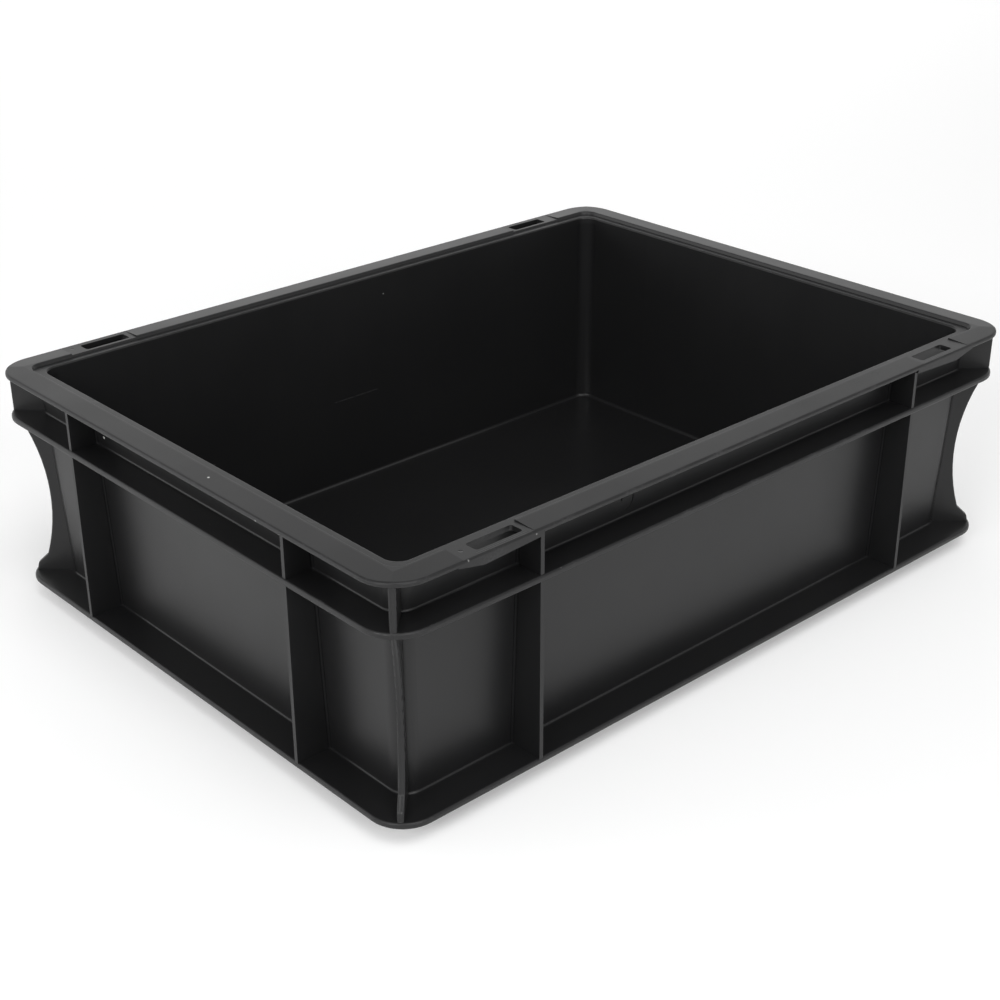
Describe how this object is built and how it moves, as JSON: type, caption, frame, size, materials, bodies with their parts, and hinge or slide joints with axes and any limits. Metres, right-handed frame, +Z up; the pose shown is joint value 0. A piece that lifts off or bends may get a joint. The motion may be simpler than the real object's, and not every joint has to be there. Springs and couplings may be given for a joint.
{
  "type": "stacking container",
  "caption": "Open stacking box with drafted walls, a stacking rim with lid slots, ribbed flanges and a foot ring.",
  "frame": {"origin": "on the plane the foot stands on, under the middle of the box", "axes": "+X along the long sides, +Y along the short sides, +Z up out of the opening"},
  "size_m": [0.4, 0.3, 0.12],
  "materials": {
    "plastic": "satin"
  },
  "bodies": {
    "root": {"container": "plastic"}
  },
  "joints": []
}
